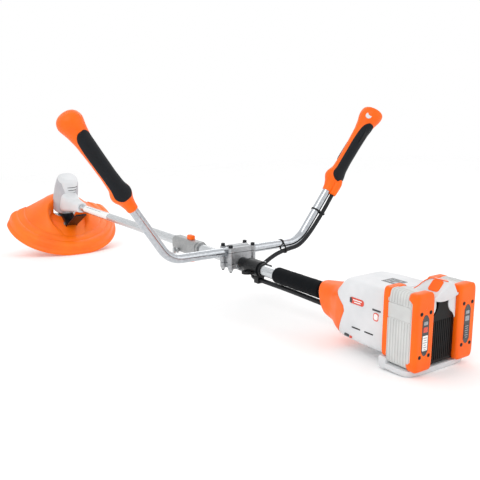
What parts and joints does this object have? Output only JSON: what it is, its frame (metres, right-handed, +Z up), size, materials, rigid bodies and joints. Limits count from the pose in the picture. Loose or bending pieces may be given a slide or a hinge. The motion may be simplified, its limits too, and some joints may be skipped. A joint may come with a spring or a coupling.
{
  "type": "brush cutter",
  "caption": "Two-battery brush cutter: U-handlebar with twin grips, split boom with coupler, rear powerhead, front motor head with guard and toothed blade.",
  "frame": {"origin": "under the middle of the machine, level with the lowest edge of the guard", "axes": "+X back along the boom to the powerhead, +Y to the operator's right, +Z up"},
  "size_m": [1.9457, 0.8796, 0.5514],
  "materials": {
    "orange_plastic": "moulded, satin",
    "white_plastic": "moulded, fine grain",
    "black_plastic": "moulded, fine grain",
    "black_rubber": "moulded, matt",
    "black_foam": "open foam, matt",
    "tube_aluminium": "drawn and anodised",
    "cast_aluminium": "die cast, bead blasted",
    "zinc_steel": "zinc plated",
    "black_steel": "black oxide",
    "blade_steel": "rolled and ground",
    "copper_iron": "wound laminations",
    "bearing_steel": "ground",
    "cell_green": "heat-shrink sleeve",
    "board_green": "coated board",
    "panel_black": "gloss window",
    "led_lens": "clear lens",
    "pack_grey": "moulded, spark grain"
  },
  "bodies": {
    "machine": {"base_tray": "white_plastic", "bracket_screw": "black_steel", "cable_ties": "black_plastic", "clamp_base": "cast_aluminium", "clamp_body": "cast_aluminium", "clamp_bolts": "black_steel", "clamp_cap": "cast_aluminium", "clamp_nuts": "zinc_steel", "control_conduit": "black_rubber", "controller_board": "board_green", "coupler_body": "cast_aluminium", "coupler_cap": "orange_plastic", "display_panel": "panel_black", "foam_grip": "black_foam", "front_collar": "orange_plastic", "front_tube": "tube_aluminium", "guard_bolts": "zinc_steel", "guard_bracket": "black_steel", "guard_shield": "orange_plastic", "handlebar": "tube_aluminium", "harness_bracket": "black_plastic", "head_flange": "cast_aluminium", "head_housing_left": "white_plastic", "head_housing_right": "white_plastic", "housing_left": "white_plastic", "housing_right": "white_plastic", "left_grip": "orange_plastic", "left_grip_pad": "black_rubber", "motor_lead": "black_rubber", "motor_stator": "copper_iron", "pivot_pins": "bearing_steel", "rear_panel": "black_plastic", "rear_tube": "tube_aluminium", "right_grip": "orange_plastic", "right_grip_pad": "black_rubber", "spindle_bearings": "bearing_steel", "status_leds": "led_lens", "tube_sleeve": "black_rubber"},
    "cutter": {"motor_rotor": "bearing_steel", "spindle": "bearing_steel", "drive_flange": "zinc_steel", "cutting_blade": "blade_steel", "blade_washer": "zinc_steel", "blade_cup": "zinc_steel", "blade_nut": "zinc_steel"},
    "trigger": {"throttle_trigger": "black_plastic"},
    "lockoff": {"lockoff_lever": "black_plastic"},
    "power_button": {"power_button": "white_plastic"},
    "left_pack": {"left_pack_case": "pack_grey", "left_pack_front_bumper": "orange_plastic", "left_pack_rear_bumper": "orange_plastic", "left_pack_cells": "cell_green"},
    "right_pack": {"right_pack_case": "pack_grey", "right_pack_front_bumper": "orange_plastic", "right_pack_rear_bumper": "orange_plastic", "right_pack_cells": "cell_green"},
    "left_release": {"left_release_button": "orange_plastic"},
    "right_release": {"right_release_button": "orange_plastic"},
    "wing_bolt": {"wing_bolt": "zinc_steel"},
    "coupler_pin": {"coupler_pin": "orange_plastic"}
  },
  "joints": [
    {"name": "cutter_spin", "type": "hinge", "parent": "machine", "child": "cutter", "pos_m": [-0.868, 0, 0.1846], "axis": [0.4384, 0, 0.8988], "continuous": true},
    {"name": "trigger_squeeze", "type": "hinge", "parent": "machine", "child": "trigger", "pos_m": [0.34657, 0.37093, 0.4681], "axis": [0, -0.8128, 0.5826], "range_deg": [0, 4], "stiffness_Nm_per_rad": 0.5, "springref_deg": -11.46},
    {"name": "lockoff_press", "type": "hinge", "parent": "machine", "child": "lockoff", "pos_m": [0.37907, 0.39524, 0.50202], "axis": [0, 0.8128, -0.5826], "range_deg": [0, 4], "stiffness_Nm_per_rad": 0.4, "springref_deg": -11.46},
    {"name": "power_press", "type": "slide", "parent": "machine", "child": "power_button", "axis": [-0.7065, 0.5912, -0.3889], "range_m": [0, 0.002], "stiffness_N_per_m": 500, "springref_m": -0.002},
    {"name": "left_pack_slide", "type": "slide", "parent": "machine", "child": "left_pack", "axis": [0, 0, 1], "range_m": [0, 0.14]},
    {"name": "right_pack_slide", "type": "slide", "parent": "machine", "child": "right_pack", "axis": [0, 0, 1], "range_m": [0, 0.14]},
    {"name": "left_release_press", "type": "slide", "parent": "machine", "child": "left_release", "axis": [0, 0.7071, -0.7071], "range_m": [0, 0.0025], "stiffness_N_per_m": 800, "springref_m": -0.002},
    {"name": "right_release_press", "type": "slide", "parent": "machine", "child": "right_release", "axis": [0, -0.7071, -0.7071], "range_m": [0, 0.0025], "stiffness_N_per_m": 800, "springref_m": -0.002},
    {"name": "wing_bolt_turn", "type": "hinge", "parent": "machine", "child": "wing_bolt", "pos_m": [0.08, 0, 0.1651], "axis": [0, 1, 0], "continuous": true},
    {"name": "coupler_pin_pull", "type": "slide", "parent": "machine", "child": "coupler_pin", "axis": [0, 0, 1], "range_m": [0, 0.008], "stiffness_N_per_m": 800, "springref_m": -0.004}
  ]
}
